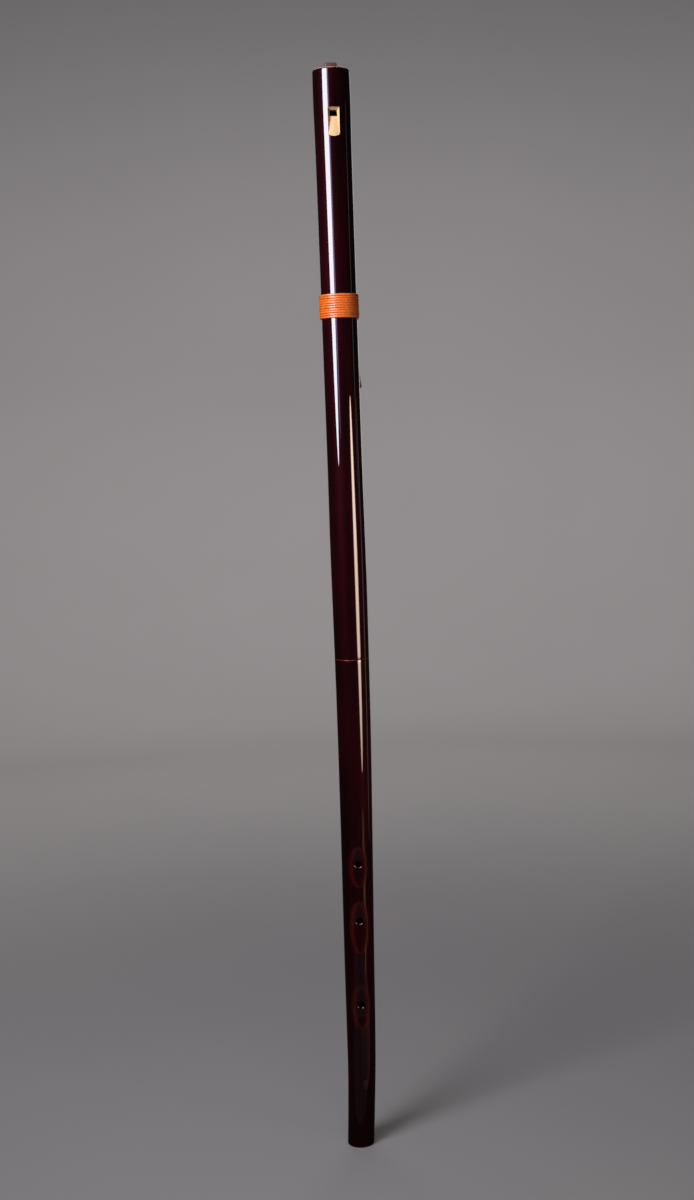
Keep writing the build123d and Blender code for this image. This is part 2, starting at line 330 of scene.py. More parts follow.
# %% [markdown]
# ## The lacquer
# Red-black lacquer over bamboo is two layers: a dark coloured one that lets a little of the
# fibre through, and a clear mirror on top. The coat of a Principled shader is the mirror. Under
# it the colour drifts between near black and wine red, in long streaks, because the fibres run
# up the cane. The edges at the joint, round the finger cups and at the foot are rubbed redder.
# A cup's edge lies where its drum meets the round cane, so the same sums find it in the shader.

# %% Lacquer
JOINT = 775.5 * MM


def near_cup_edge(finish, cup_height, cup_length, cup_depth):
    """1 along the edge of a finger cup, falling to 0 over 6 mm on both sides."""
    radius, centre = through(lower_stations, [cup_height])[0] * MM
    drum = ((cup_length / 2) ** 2 / (2 * cup_depth) + cup_depth / 2) * MM
    rise = finish.part("Z") - cup_height * MM
    side = finish.part("X") - centre
    bowl = (drum**2 - rise * rise).math("SQRT", drum**2 - rise * rise)
    face = radius + drum - cup_depth * MM - bowl
    square = radius**2 - face * face
    square = square.math("MAXIMUM", square, 0.0)
    half_width = square.math("SQRT", square)
    across = side.math("ABSOLUTE", side)
    gap = across - half_width
    gap = gap.math("ABSOLUTE", gap)
    along = rise.math("ABSOLUTE", rise)
    inside = 1 - finish.mask(along, (cup_length / 2 - 1) * MM, (cup_length / 2 + 3) * MM)
    front = 1 - finish.mask(finish.part("Y"), -14 * MM, -10 * MM)
    return (1 - finish.mask(gap, 0.0, 6 * MM)) * inside * front


def lacquer(name, dark, wine, rubbed, base_roughness, coat_roughness):
    finish = Finish(name)
    streaks = finish.noise((700, 700, 14), detail=6)
    clouds = finish.noise((26, 26, 5), detail=3, shift=(3, 1, 2))
    height = finish.part("Z")
    share = finish.mask(streaks * 0.45 + clouds * 0.55, 0.36, 0.66)
    colour = finish.mix(share, dark, wine)
    # Thin lacquer on the two edges of the joint and round the foot
    from_joint = (height - JOINT).math("ABSOLUTE", height - JOINT)
    near_joint = 1 - finish.mask(from_joint, 0.3 * MM, 0.9 * MM)
    near_foot = 1 - finish.mask(height, 0.6 * MM, 2.6 * MM)
    worn = near_joint.math("MAXIMUM", near_joint, near_foot * 0.6)
    for _, *cup in finger_holes:
        worn = worn.math("MAXIMUM", worn, near_cup_edge(finish, *cup) * clouds * 0.4)
    colour = finish.mix(worn * 0.8, colour, rubbed)
    fibres = finish.noise((1500, 1500, 45), detail=3)
    return finish.surface(
        colour,
        base_roughness + 0.1 * (clouds - 0.5),
        finish.bump(fibres, 0.02 * MM),
        Coat_Weight=1.0,
        Coat_Roughness=coat_roughness,
        Coat_IOR=1.5,
        Specular_IOR_Level=0.075,
        Specular_Tint=(1.0, 0.10, 0.20, 1),
    )


near_black = (0.0015, 0.0003, 0.0004)
wine_red = (0.0075, 0.0003, 0.0009)
brick_red = (0.10, 0.008, 0.006)
lacquer_gloss = lacquer("lacquer", near_black, wine_red, brick_red, 0.5, 0.012)
lacquer_satin = lacquer("lacquer_satin", near_black, wine_red, brick_red, 0.5, 0.12)
print("lacquer:", lacquer_gloss.material.name, "and", lacquer_satin.material.name)

# %% [markdown]
# ## Bare bamboo and the woods
# Where a knife has opened the cane, its fibre bundles show as fine lines along the length and as
# specks across the cut. One recipe serves every wood here: a streaky noise stretched along the
# grain, fine pores, a slow drift of colour, and a shallow bump. Only the grain's direction, the
# colours and the size of the streaks change.

# %% Woods
def wood(name, pale, deep, streak=(1400, 1400, 35), pores=0.35, roughness=0.55, depth=0.08, **gloss):
    finish = Finish(name)
    lines = finish.noise(streak, detail=5, roughness=0.6)
    drift = finish.noise(tuple(s / 18 for s in streak), detail=2, shift=(5, 2, 7))
    specks = finish.noise(tuple(s * 2.3 for s in streak), detail=2, shift=(1, 4, 2))
    share = finish.mask(lines * 0.6 + drift * 0.4, 0.36, 0.64)
    colour = finish.mix(share, pale, deep)
    dots = finish.mask(specks, 0.60, 0.72)
    colour = finish.mix(dots * pores, colour, tuple(0.35 * c for c in deep))
    return finish.surface(
        colour,
        roughness + 0.15 * (lines - 0.5),
        finish.bump(lines - dots * 0.5, depth * MM),
        **gloss,
    )


bare_bamboo = wood("bare_bamboo", (0.53, 0.33, 0.165), (0.37, 0.21, 0.092), pores=0.25)
mouth_bamboo = wood(
    "mouth_bamboo", (0.50, 0.30, 0.15), (0.34, 0.18, 0.08), roughness=0.42, Coat_Weight=0.15
)
# The bore is the cut bamboo again, painted far darker: painted shade for the inside of the tubes.
bore_bamboo_painted_shade = wood("bore_bamboo_painted_shade", (0.06, 0.03, 0.015), (0.035, 0.015, 0.008), roughness=0.6)
sleeve_wood = wood(
    "sleeve_wood", (0.36, 0.19, 0.08), (0.24, 0.11, 0.045), (900, 900, 25), roughness=0.4
)
block_wood = wood("block_wood", (0.40, 0.22, 0.10), (0.28, 0.14, 0.06), (1000, 1000, 60))
dark_hardwood = wood(
    "dark_hardwood", (0.052, 0.015, 0.013), (0.026, 0.007, 0.0065), (1200, 1200, 50), roughness=0.42
)
print("woods:", [m.name for m in bpy.data.materials if "wood" in m.name or "bamboo" in m.name])

# %% [markdown]
# ## Lace, thread, cork and brass
# The lace is dyed leather, smooth and slightly waxed, with creases across it where it bends and
# fine scratches along it. The lapping's thread is twisted and dull. Cork is a mass of grains
# with dark gaps. The brass nipple is drawn tube, with faint rings from the lathe.

# %% Lace, thread, cork and brass
def orange_leather():
    finish = Finish("orange_lace")
    scuffs = finish.noise((260, 260, 1900), detail=4)
    dye = finish.noise((60, 60, 260), detail=3, shift=(2, 6, 1))
    grain = finish.noise((2600, 2600, 2600), detail=2)
    colour = finish.mix(finish.mask(dye, 0.35, 0.65), (0.47, 0.088, 0.006), (0.38, 0.064, 0.004))
    colour = finish.mix(finish.mask(scuffs, 0.55, 0.75) * 0.4, colour, (0.60, 0.17, 0.03))
    height = grain * 0.6 + scuffs * 0.4
    return finish.surface(
        colour,
        0.36 + 0.2 * (scuffs - 0.5),
        finish.bump(height, 0.05 * MM),
        Coat_Weight=0.25,
        Coat_Roughness=0.3,
    )


def waxed_thread():
    finish = Finish("waxed_thread")
    twist = finish.noise((1700, 1700, 5200), detail=2)
    colour = finish.mix(finish.mask(twist, 0.4, 0.65), (0.52, 0.36, 0.17), (0.33, 0.21, 0.09))
    return finish.surface(colour, 0.62 + 0.15 * (twist - 0.5), finish.bump(twist, 0.08 * MM))


def cork_bark():
    finish = Finish("cork")
    cells = finish.node(
        "ShaderNodeTexVoronoi", {"feature": "F1"}, {"Vector": finish.place, "Scale": 900.0}, "Distance"
    )
    lumps = finish.noise((350, 350, 350), detail=4)
    colour = finish.mix(finish.mask(lumps, 0.4, 0.65), (0.46, 0.27, 0.13), (0.26, 0.13, 0.055))
    colour = finish.mix(finish.mask(cells, 0.55, 0.8) * 0.7, colour, (0.10, 0.045, 0.02))
    return finish.surface(colour, 0.8 + 0.1 * (lumps - 0.5), finish.bump(lumps - cells * 0.6, 0.15 * MM))


def drawn_brass():
    finish = Finish("nipple_brass")
    rings_cut = finish.noise((600, 600, 600), detail=3)
    colour = finish.mix(rings_cut, (0.62, 0.42, 0.16), (0.42, 0.26, 0.09))
    shallow = finish.bump(rings_cut, 0.01 * MM)
    return finish.surface(colour, 0.28 + 0.25 * (rings_cut - 0.5), shallow, Metallic=1.0)


orange_lace = orange_leather()
thread = waxed_thread()
cork = cork_bark()
brass = drawn_brass()
print("small finishes:", [f.material.name for f in (orange_lace, thread, cork, brass)])

# %% [markdown]
# ## Cutting holes
# The window and the finger holes are cut through the finished tubes by Boolean modifiers, in
# the way that a knife and a burning rod open the real ones. The exact solver keeps the edges
# crisp, and the tool's own material index stays on the faces that it cuts, so the bare bamboo
# appears only where the blade has been.

# %% Cut
def cut(piece, tools, crease=30):
    """Takes the tools' shapes out of the piece, for good."""
    for tool in tools:
        change = piece.modifiers.new("cut", "BOOLEAN")
        change.operation = "DIFFERENCE"
        change.solver = "EXACT"
        change.object = tool
    graph = bpy.context.evaluated_depsgraph_get()
    opened = bpy.data.meshes.new_from_object(piece.evaluated_get(graph))
    piece.modifiers.clear()
    piece.data = opened
    opened.set_sharp_from_angle(angle=math.radians(crease))
    for tool in tools:
        bpy.data.objects.remove(tool)
    print(f"{piece.name}: {len(opened.polygons)} faces once cut")


def marked(tool, index):
    """Gives every face of a tool this material index."""
    tool.data.polygons.foreach_set("material_index", [index] * len(tool.data.polygons))
    return tool


# %% [markdown]
# ## Lower section
# The rows go up the outside, over the end, down the socket and the bore, and back to the foot.
# They are 5 mm apart, and 1.25 mm apart where the cups are, because the reflections bend there.

# %% Lower section
head_x = 12.9
foot_round = 1.5
end_round = 0.5
socket_radius = 21.05
foot_arc = np.radians(np.linspace(-90, 0, 7))
edge_arc = np.radians(np.linspace(0, 90, 5))
outside = np.concatenate([steps(foot_round, 190, 5), steps(190, 495, 1.25), steps(495, 774.9, 5)])
outside = np.unique(outside)
outer = through(lower_stations, outside)
bore = steps(40.0, 715.5, 8.0)[::-1]
inner = through(lower_bore_stations, bore)


def row(height, radius, centre=0.0):
    return rings([height * MM], [radius * MM], centre * MM, columns=columns)


def along_cane(heights, radii, centres):
    return rings(heights * MM, radii * MM, centres * MM, columns=columns)


lower_rows = [row(1.5 + foot_round * np.sin(a), 19.4 + foot_round * np.cos(a)) for a in foot_arc[:-1]]
lower_rows.append(along_cane(outside, cupped(outer[:, 0], outside), outer[:, 1]))
for a in edge_arc[1:]:
    lower_rows.append(row(774.9 + end_round * np.sin(a), 25.7 + end_round * np.cos(a), head_x))
outer_bands = sum(len(r) for r in lower_rows)
lower_rows += [row(775.4, 21.35, head_x), row(775.1, socket_radius, head_x)]
lower_rows += [row(715.6, socket_radius, head_x), row(715.5, 20.95, head_x)]
lower_rows.append(along_cane(bore, inner[:, 0], inner[:, 1]))
lower_rows += [row(0.6, 14.5), row(0.0, 15.1)]
lower_rows = np.concatenate(lower_rows)
LACQUER, BARE, BORE = range(3)
lower_bands = [LACQUER] * outer_bands + [BORE] * (len(lower_rows) - outer_bands)
tube_finishes = (lacquer_gloss, bare_bamboo, bore_bamboo_painted_shade)
lower_shell = surface("lower_section_shell", lower_rows, tube_finishes, lower_bands, closed=True)

# %% [markdown]
# Each finger hole has a lip that is opened out for the finger and rounded by the lacquer. The
# tool is a turned plug with that lip's quarter round on it, pushed in from the front.

# %% Finger holes
hole_radius = 5.0
lip = 2.0
lip_turn = 75
flare_radius = 12.0


def hole_tool(height, *cup):
    """A plug as wide as the hole, with a lip that flares past the cup's face."""
    centre = through(lower_stations, [height])[0, 1]
    face = float(cup_face([height], *cup)[0])
    turn = np.radians(np.linspace(0, lip_turn, 9))
    radii = [hole_radius, *(hole_radius + lip - lip * np.cos(turn)), flare_radius]
    reach = [6.0, *(face - lip + lip * np.sin(turn))]
    reach.append(reach[-1] + (flare_radius - radii[-2]) * math.tan(math.radians(90 - lip_turn)))
    tool = rings(np.array(reach) * MM, np.array(radii) * MM, columns=72)
    place = (centre * MM, 0, height * MM)
    return surface(f"hole_tool_{height:.0f}", stand(tool, place, (0, -1, 0), (1, 0, 0)))


cut(lower_shell, [marked(hole_tool(*hole), LACQUER) for hole in finger_holes])
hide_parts("lower_tube")
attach(lower_shell, "lower_section")

# %% [markdown]
# ## Upper section
# This cane is straight. Two of its nodes are sanded down to faint rings, which show only as a
# slow change in the width of the reflections. The rim's outer edge is a full 2.5 mm round, and
# its top is left bare, so a thin golden line shows over the lacquer.

# %% Upper section
rim_height = 1648.0
rim_round = 2.5
rim_start = rim_height - rim_round
bore_radius = 21.0
upper_outline = [
    (776.0, 26.2), (955.0, 26.85), (1050.0, 26.4), (1240.0, 26.45), (1400.0, 26.6),
    (1540.0, 27.0), (1612.0, 27.6), (rim_start, 27.3),
]
body_heights = np.concatenate([steps(776, 1530, 5)[:-1], steps(1530, rim_start, 2)])
body_radii = through(upper_outline, body_heights)[:, 0]
edge = [
    (776.0 - end_round * np.sin(a), 25.7 + end_round * np.cos(a)) for a in edge_arc[::-1][:-1]
]
rim_arc = np.radians(np.linspace(0, 90, 13))[1:]
rim = [(rim_start + rim_round * np.sin(a), 24.8 + rim_round * np.cos(a)) for a in rim_arc]
profile = edge + list(zip(body_heights, body_radii)) + rim
rim_bare = sum(h < rim_height - 0.9 for h, _ in profile)
inside_from = len(profile)
profile += [(rim_height, 21.6), (rim_height - 0.6, bore_radius)]
profile += [(h, bore_radius) for h in steps(1540, 1640, 10)[::-1]]
for h in steps(835.5, 1530, 10)[::-1]:
    profile.append((h, np.interp(h, [835.5, 1540], [19.8, bore_radius])))
profile += [(835.5, 20.95), (835.4, socket_radius), (775.9, socket_radius), (775.5, 21.45)]
profile = np.array(profile) * MM
upper_bands = np.full(len(profile), LACQUER)
upper_bands[rim_bare:] = BARE
upper_bands[inside_from + 1:] = BORE
upper_shell = surface(
    "upper_section_shell",
    rings(profile[:, 0], profile[:, 1], head_x * MM, columns=columns),
    tube_finishes,
    upper_bands,
    closed=True,
)

# %% [markdown]
# The window is cut last, as a knife would do it: a square mouth at the bore, straight walls that
# open outwards, and a long ramp below the sounding edge. The ramp is a little crowned, because a
# blade pared across a round cane leaves it so. A hole for the nipple goes through the back.

# %% Window
skin_radius = 27.3
# Half width, bottom and top of the opening, at the bore and at the skin
at_bore = np.array([10.8 / 2, 1578.5, 1587.3])
at_skin = np.array([18.4 / 2, 1548.3, 1590.7])
ramp_run = (1578.5 - 1548.3) / (skin_radius - bore_radius)
ramp_crown = 0.01


def window_tool():
    """The flared opening, with a ramp that falls away a little from its middle line."""
    outlines = []
    for share in np.linspace(-0.2, 1.2, 15):
        half, bottom, top = at_bore + share * (at_skin - at_bore)
        depth = bore_radius + share * (skin_radius - bore_radius)
        x = half * np.linspace(-1, 1, 17)
        z = bottom - ramp_crown * ramp_run * x * x
        foot = np.stack([head_x + x, np.full(17, -depth), z], axis=-1)
        outlines.append([*foot, (head_x + half, -depth, top), (head_x - half, -depth, top)])
    return marked(surface("window_tool", np.array(outlines) * MM, crease=20), BARE)


def mouth_tool():
    """The mouth, square through the bore, so that the sounding edge is straight."""
    half, bottom, top = at_bore
    corners = ((-half, bottom), (half, bottom), (half, top), (-half, top))
    outlines = [[(head_x + x, y, z) for x, z in corners] for y in (-18.0, -23.0)]
    return marked(surface("mouth_tool", np.array(outlines) * MM, crease=1), BARE)


wind_angle = math.radians(33)
outward = np.array([math.sin(wind_angle), math.cos(wind_angle), 0])
sideways = np.array([math.cos(wind_angle), -math.sin(wind_angle), 0])


def nipple_tool(name, start, end):
    """A round hole towards the wind tube, from start to end along the nipple."""
    tool = rings(np.array([start, end]) * MM, np.array([4.0, 4.0]) * MM, columns=48)
    place = np.array([head_x, 0, 1627.7]) * MM
    return marked(surface(name, stand(tool, place, outward, sideways)), BORE)


cut(upper_shell, [window_tool(), mouth_tool(), nipple_tool("nipple_tool_head", 19, 30)])
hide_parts("upper_tube")
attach(upper_shell, "upper_section")

# %% [markdown]
# ## Sleeve and lappings
# The two sections meet on a loose wooden sleeve, with a band of waxed thread near each end that
# makes the joint airtight. It hides inside until the flute is pulled apart. The sleeve is turned.
# The thread's turns are a scalloped skin: each row knows how far it is from the nearest groove
# of the winding, and the winding climbs by one pitch in each turn.

# %% Sleeve and lappings
sleeve_profile = np.array([
    (716.0, 20.5), (716.5, 21.0), (730.5, 21.0), (730.6, 20.2), (755.4, 20.2), (755.5, 21.0),
    (795.5, 21.0), (795.6, 20.2), (820.4, 20.2), (820.5, 21.0), (834.5, 21.0), (835.0, 20.5),
    (835.0, 18.8), (834.7, 18.5), (716.3, 18.5), (716.0, 18.8),
]) * MM
sleeve = surface(
    "joint_sleeve_turned",
    rings(sleeve_profile[:, 0], sleeve_profile[:, 1], head_x * MM, columns=128),
    (sleeve_wood,),
    closed=True,
    crease=25,
)
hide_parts("joint_sleeve")
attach(sleeve, "sleeve")

thread_pitch = 0.62
for name, bottom in (("lower_lapping", 730.5), ("upper_lapping", 795.5)):
    heights = steps(bottom, bottom + 25.0, thread_pitch / 8)
    turn = np.linspace(0, 1, 120, endpoint=False)
    phase = (heights[:, None] - bottom) / thread_pitch - turn
    bulge = np.abs(np.sin(np.pi * phase)) ** 0.6
    end_fall = np.minimum(1, np.minimum(heights - bottom, bottom + 25.0 - heights) / 0.3)[:, None]
    radii = 20.72 + (0.22 * bulge) * end_fall
    inner_rows = rings(np.array([bottom + 25.0, bottom]) * MM, [20.2 * MM] * 2, head_x * MM, columns=120)
    wound_rows = rings(heights * MM, radii * MM, head_x * MM, columns=120)
    thread_rows = np.concatenate([wound_rows, inner_rows])
    lapping = surface(f"{name}_thread", thread_rows, (thread,), closed=True, crease=60)
    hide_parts(name)
    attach(lapping, "sleeve")

# %% [markdown]
# ## Stopper
# The stopper closes the wind chamber at the top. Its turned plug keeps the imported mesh, with a
# finish. Its cork band bulges a little between the two shoulders. Its grip is a small flat board
# of dark wood. The board is a stack of rounded rectangles that shrink at the top, so that every
# edge has the round that sandpaper leaves.

# %% Stopper
def rounded_rectangle(width, depth, corner, per_corner=6):
    """Points round a rectangle with round corners, centred on the origin."""
    points = []
    for quarter, (sx, sy) in enumerate(((1, 1), (-1, 1), (-1, -1), (1, -1))):
        for a in np.radians(90 * quarter + np.linspace(0, 90, per_corner)):
            points.append((
                sx * (width / 2 - corner) + corner * math.cos(a),
                sy * (depth / 2 - corner) + corner * math.sin(a),
            ))
    return np.array(points)


# Height, and how far the board has shrunk there on every side
grip_steps = (
    (1640.2, 0.0), (1649.0, 0.0), (1657.2, 0.05), (1658.0, 0.25), (1658.6, 0.65), (1658.9, 1.2),
    (1659.0, 2.2),
)
grip_rows = []
for height, inset in grip_steps:
    outline = rounded_rectangle(17.5 - 2 * inset, 7.0 - 2 * inset, max(1.4 - 0.4 * inset, 0.5))
    level = np.full(len(outline), height)
    grip_rows.append(np.column_stack([outline[:, 0] + head_x, outline[:, 1], level]))
grip = surface("stopper_grip_board", np.array(grip_rows) * MM, (dark_hardwood,), crease=50)
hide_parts("stopper_grip")
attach(grip, "stopper")

cork_profile = np.array([
    (1638.5, 19.6), (1638.5, 20.6), (1638.9, 20.85), (1640.0, 20.93), (1641.25, 20.95),
    (1642.5, 20.93), (1643.6, 20.85), (1644.0, 20.6), (1644.0, 19.6),
]) * MM
cork_band = surface(
    "stopper_cork_band",
    rings(cork_profile[:, 0], cork_profile[:, 1], head_x * MM, columns=128),
    (cork,),
    closed=True,
)
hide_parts("stopper_cork")
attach(cork_band, "stopper")

# %% [markdown]
# ## Wind tube
# A thin cane, lacquered like the flute but less glossy, carries the breath up the back. A cane
# this long has nodes, and here they are left on: a raised ring with a narrow groove under it,
# where the sheath grew. A turned plug with a domed cap closes the top.

# %% Wind tube
apart = 36.3
wind_x, wind_y = np.array([head_x, 0]) + apart * outward[:2]
cane_nodes = (1352.0, 1478.0, 1590.0)
cane_heights = [steps(1246.5, 1639.5, 4)] + [steps(n - 5, n + 5, 0.5) for n in cane_nodes]
cane_heights = np.unique(np.concatenate(cane_heights))
cane_radii = 8.2 - 0.12 * np.sin((cane_heights - 1246) / 58.0) ** 2
for node in cane_nodes:
    cane_radii += 0.5 * np.exp(-(((cane_heights - node) / 1.3) ** 2))
    cane_radii -= 0.28 * np.exp(-(((cane_heights - node + 2.6) / 0.8) ** 2))
cane = [(1246.0, 7.7), *zip(cane_heights, cane_radii)]
cane += [(1640.0, 7.7), (1640.0, 5.8), (1246.0, 5.8)]
cane = np.array(cane) * MM
wind_cane = surface(
    "wind_tube_cane",
    rings(cane[:, 0], cane[:, 1], wind_x * MM, wind_y * MM, columns=96),
    (lacquer_satin, bare_bamboo, bore_bamboo_painted_shade),
    [LACQUER] * (len(cane) - 3) + [BARE, BORE, BARE],
    closed=True,
)
cut(wind_cane, [nipple_tool("nipple_tool_cane", 26.5, 33)])
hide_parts("wind_tube")
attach(wind_cane, "upper_section")

cap_arc = np.radians(np.linspace(0, 80, 9))
cap_profile = [(1634.0, 5.3), (1634.5, 5.8), (1640.0, 5.8), (1640.0, 7.9), (1640.3, 8.2), (1641.2, 8.2)]
cap_profile += [(1641.2 + 1.2 * np.sin(a), 6.6 + 1.6 * np.cos(a)) for a in cap_arc[1:]]
cap_profile += [(1642.7, 4.5), (1642.9, 2.2), (1643.0, 0.6)]
cap_profile = np.array(cap_profile) * MM
cap = surface(
    "wind_tube_plug_turned",
    rings(cap_profile[:, 0], cap_profile[:, 1], wind_x * MM, wind_y * MM, columns=72),
    (dark_hardwood,),
    crease=40,
)
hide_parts("wind_tube_plug")
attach(cap, "upper_section")

# %% [markdown]
# ## Mouthpiece
# A bent piece of bare bamboo, glued into the wind tube, ends in a slanted cut for the lips. A
# sweep along an arc, sliced by a plane, would leave a ragged last row. Here every column of the
# grid runs along the arc exactly as far as the plane, so the cut's edge is one clean row, and
# the rows beside it round its lip.

# %% Mouthpiece
arc_radius = 200.0
mouth_bottom = 1246.0
cut_tilt = math.radians(35.0)
tip_reach = arc_radius * (1 - math.cos(math.radians(18.6))) + 8.2
cut_level = 1184.0
round_columns = np.linspace(0, 2 * np.pi, 96, endpoint=False)


def on_arc(turn, radius):
    """How far out from the wind tube's axis, and how high, each column is after this turn."""
    out = arc_radius * (1 - np.cos(turn)) + radius * np.cos(round_columns) * np.cos(turn)
    height = mouth_bottom - arc_radius * np.sin(turn) + radius * np.cos(round_columns) * np.sin(turn)
    return out, height


def turn_to_cut(radius):
    """The turn at which each column meets the slanted plane, found by halving."""
    low, high = np.zeros(96), np.full(96, math.radians(25))
    for _ in range(40):
        middle = (low + high) / 2
        out, height = on_arc(middle, radius)
        above = height > cut_level - math.tan(cut_tilt) * (out - tip_reach)
        low, high = np.where(above, middle, low), np.where(above, high, middle)
    return low


def mouth_row(radius, share, back=0.0):
    """A row at this share of the way to the cut, or this far back from it."""
    turn = turn_to_cut(radius) * share - back / arc_radius
    out, height = on_arc(turn, radius)
    side = radius * np.sin(round_columns)
    x = wind_x + out * outward[0] + side * sideways[0]
    y = wind_y + out * outward[1] + side * sideways[1]
    return np.stack([x, y, height], axis=-1)


skin, hollow = 8.2, 4.4
outer_round, inner_round = 1.3, 0.8
quarter = np.radians(np.linspace(0, 90, 7))
mouth_rows = [mouth_row(skin, share, outer_round * share) for share in np.linspace(0, 1, 30)]
for a in quarter[1:]:
    inset, back = outer_round * (1 - math.cos(a)), outer_round * (1 - math.sin(a))
    mouth_rows.append(mouth_row(skin - inset, 1.0, back))
for a in quarter:
    inset, back = inner_round * (1 - math.sin(a)), inner_round * (1 - math.cos(a))
    mouth_rows.append(mouth_row(hollow + inset, 1.0, back))
mouth_rows += [mouth_row(hollow, share, inner_round * share) for share in np.linspace(1, 0, 30)[1:]]
# The tenon, which goes up into the wind tube
for height, radius in ((1260.0, hollow), (1260.0, 5.5), (1259.5, 5.78), (mouth_bottom, 5.78)):
    out, side = radius * np.cos(round_columns), radius * np.sin(round_columns)
    x = wind_x + out * outward[0] + side * sideways[0]
    y = wind_y + out * outward[1] + side * sideways[1]
    mouth_rows.append(np.stack([x, y, np.full(96, height)], axis=-1))
mouthpiece = surface(
    "mouthpiece_carved", np.array(mouth_rows) * MM, (mouth_bamboo,), closed=True, crease=45
)
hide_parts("mouthpiece")
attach(mouthpiece, "upper_section")

# %% [markdown]
# ## Binding
# Ten turns of lace hold the wind tube, pulled tight round both tubes, so that each turn runs
# round one, straight across to the other, round it and straight back. Each turn is level. The
# lace climbs to the next one at the back, where its two ends are tucked in between the tubes.
# A sweep along a curve object could do it, but this needs the lace's own squarish section to
# stay upright, so the rows are placed one by one along the path.

# %% Binding
lace_turns = 10
lace_pitch = 3.54
lace_half = 1.65
binding_bottom = 1287.7
flute_reach = 26.62 + lace_half
cane_reach = 8.32 + lace_half
tangent_angle = math.acos((flute_reach - cane_reach) / apart)
straight = math.sqrt(apart**2 - (flute_reach - cane_reach) ** 2)
flute_wrap = flute_reach * (2 * math.pi - 2 * tangent_angle)
cane_wrap = cane_reach * 2 * tangent_angle
once_round = flute_wrap + cane_wrap + 2 * straight


def round_both(distance):
    """Place and outward direction on the path, from the middle of its straight run at the back."""
    s = np.mod(distance + straight / 2, once_round)
    on_flute = s - straight
    across = on_flute - flute_wrap
    on_cane = across - straight
    # At the back the path faces -tangent_angle. It goes to the flute, round it, and to the cane.
    angle = np.where(
        s < straight,
        -tangent_angle,
        np.where(
            on_flute < flute_wrap,
            -tangent_angle - on_flute / flute_reach,
            np.where(across < straight, tangent_angle, tangent_angle - on_cane / cane_reach),
        ),
    )
    facing = np.stack([np.cos(angle), np.sin(angle)], axis=-1)
    flute_end = facing * flute_reach
    cane_end = facing * cane_reach + np.array([apart, 0])
    back = cane_end + (flute_end - cane_end) * np.clip(s / straight, 0, 1)[:, None]
    front_run = flute_end + (cane_end - flute_end) * np.clip(across / straight, 0, 1)[:, None]
    place = np.where(
        (s < straight)[:, None],
        back,
        np.where(
            (on_flute < flute_wrap)[:, None],
            flute_end,
            np.where((across < straight)[:, None], front_run, cane_end),
        ),
    )
    return place, facing


tail = 13.0
climb = 9.0
along = np.linspace(-tail, lace_turns * once_round + tail, 1800)
place, facing = round_both(along)
# Level turns, with a smooth climb where one ends and the next begins
level = np.zeros(len(along))
for turn in range(1, lace_turns):
    t = np.clip((along - turn * once_round + climb) / (2 * climb), 0, 1)
    level += t * t * (3 - 2 * t)
height = binding_bottom + (level + 0.5) * lace_pitch
height += 0.07 * np.sin(along / 31.0) + 0.05 * np.sin(along / 12.7 + 1.3)
loose = 0.05 * np.sin(along / 23.0 + 0.7) + 0.04 * np.sin(along / 9.1)
beyond = np.clip(np.maximum(-along, along - lace_turns * once_round) / tail, 0, 1)
loose -= 6.0 * beyond * beyond * (3 - 2 * beyond) + 0.05

section_angle = np.linspace(0, 2 * np.pi, 20, endpoint=False)
squarish = 2 / 2.6
thick = lace_half * np.sign(np.cos(section_angle)) * np.abs(np.cos(section_angle)) ** squarish
wide = lace_pitch / 2 * np.sign(np.sin(section_angle)) * np.abs(np.sin(section_angle)) ** squarish
reach = loose[:, None] + thick[None, :]
flat = place[:, None, :] + facing[:, None, :] * reach[..., None]
lace_rows = np.stack([
    head_x + flat[..., 0] * outward[0] + flat[..., 1] * sideways[0],
    flat[..., 0] * outward[1] + flat[..., 1] * sideways[1],
    height[:, None] + wide[None, :],
], axis=-1)
binding = surface("binding_lace_wound", lace_rows * MM, (orange_lace,), crease=60)
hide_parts("binding_lace")
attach(binding, "upper_section")
print(f"lace: {lace_turns * once_round / 1000:.2f} m in {lace_turns} turns")

# %% [markdown]
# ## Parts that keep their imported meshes
# The block, the stopper's plug, the nipple and the saddle are simple turned or sawn shapes, and
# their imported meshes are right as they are. They only need their finishes.

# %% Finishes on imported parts
packed_finishes = {
    "fipple_block": block_wood,
    "stopper_plug": dark_hardwood,
    "transfer_nipple": brass,
    "duct_saddle": block_wood,
}
for name, finish in packed_finishes.items():
    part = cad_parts[name]
    part.data.materials.clear()
    part.data.materials.append(finish.material)
print("finished in place:", sorted(packed_finishes))

# %% [markdown]
# ## Studio
# The flute stands on a pale floor that curves up into a pale wall, all the way round, so that
# every side can be looked at. Lacquer shows whatever stands in front of it, and a dark front
# needs a dark room. So only the floor within a metre of the foot gives light back, and dim cards
# on it are what the lacquer mirrors. The curve is one profile turned round, in two halves.

# %% Floor and wall
def studio_paper_painted_light():
    """Painted light and shade: paler at the height of the knees, and painted darker towards the floor in
    front and the top.
    """
    finish = Finish("studio_paper_painted_light")
    mottle = finish.noise((1.5, 1.5, 1.5), detail=3)
    pale = finish.mix(mottle, (0.52, 0.485, 0.475), (0.56, 0.52, 0.51))
    dim = finish.mix(mottle, (0.165, 0.158, 0.158), (0.18, 0.172, 0.172))
    # Painted shade: the paper's colour darkens high up and on the floor near the foot.
    rise = finish.mask(finish.part("Z"), 0.9, 3.6)
    squared = finish.part("X") * finish.part("X") + finish.part("Y") * finish.part("Y")
    near = 1 - finish.mask(squared.math("SQRT", squared), 0.6, 3.6)
    share = rise.math("MAXIMUM", rise * 0.9, near)
    return finish.surface(finish.mix(share, pale, dim), 0.85)


